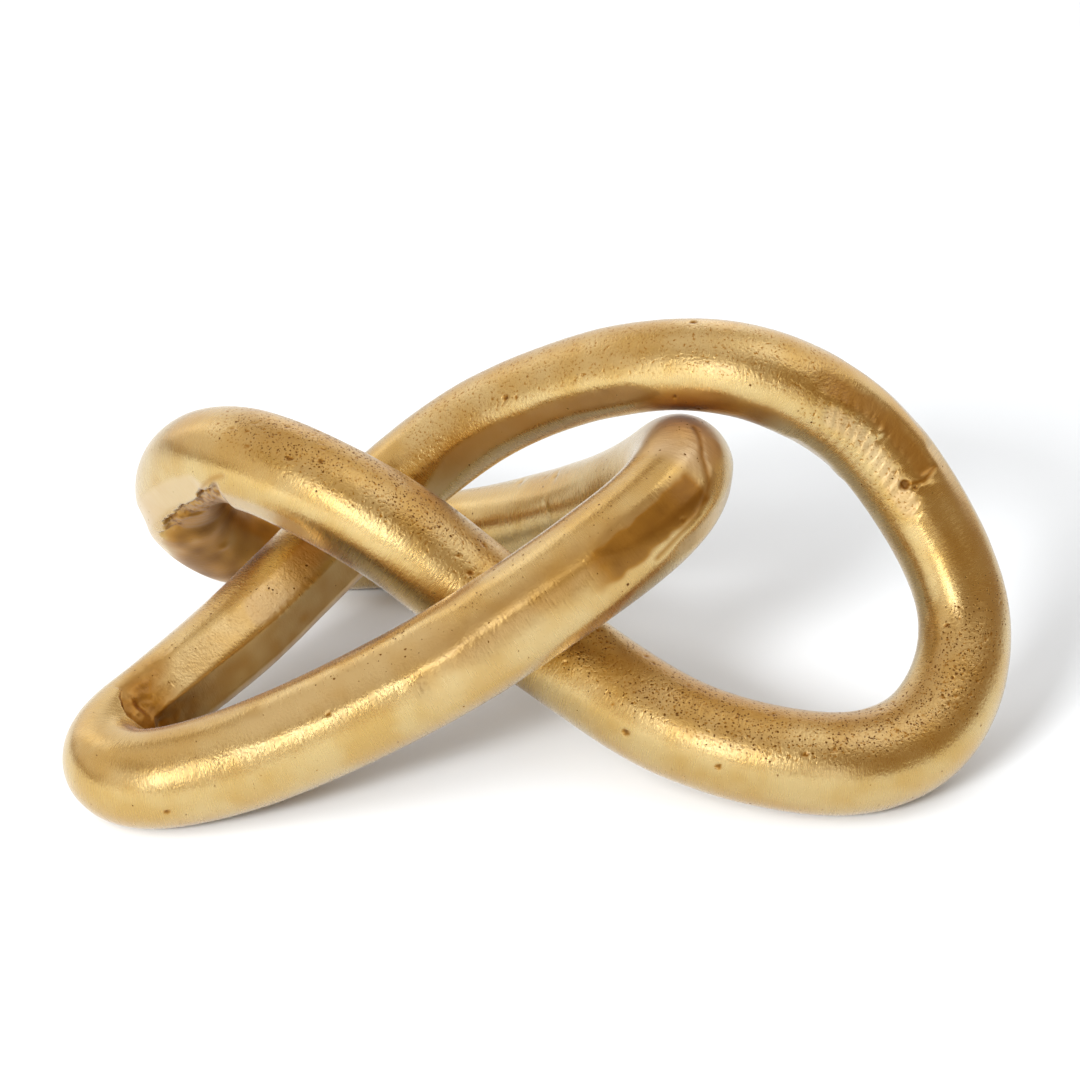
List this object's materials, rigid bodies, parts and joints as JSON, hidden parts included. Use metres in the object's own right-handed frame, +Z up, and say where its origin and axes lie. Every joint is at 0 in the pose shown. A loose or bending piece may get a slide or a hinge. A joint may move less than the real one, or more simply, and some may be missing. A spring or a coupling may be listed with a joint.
{
  "type": "knot ornament",
  "caption": "Shelf ornament: a thick round strand of antique-gold cast metal that weaves over and under itself in a closed loop and rests on small flats ground on its feet.",
  "frame": {"origin": "on the shelf, under the middle of the ornament's bounding box", "axes": "+X along the length, towards the large upright loop; +Y from the front strand to the back; +Z up from the shelf"},
  "size_m": [0.2676, 0.1657, 0.12],
  "materials": {
    "antique_gold_casting": "satin antique gold over a sand-cast and hand-filed skin",
    "dressed_weld": "satin antique gold over a weld dressed back by hand"
  },
  "bodies": {
    "root": {"main_loop_casting": "antique_gold_casting", "rear_run_casting": "antique_gold_casting", "rear_riser_casting": "antique_gold_casting", "front_strand_casting": "antique_gold_casting", "left_riser_casting": "antique_gold_casting", "arch_casting": "antique_gold_casting", "left_bend_weld": "dressed_weld", "rear_run_weld": "dressed_weld", "top_bend_weld": "dressed_weld", "front_bend_weld": "dressed_weld", "left_riser_weld": "dressed_weld", "right_shoulder_weld": "dressed_weld"}
  },
  "joints": []
}
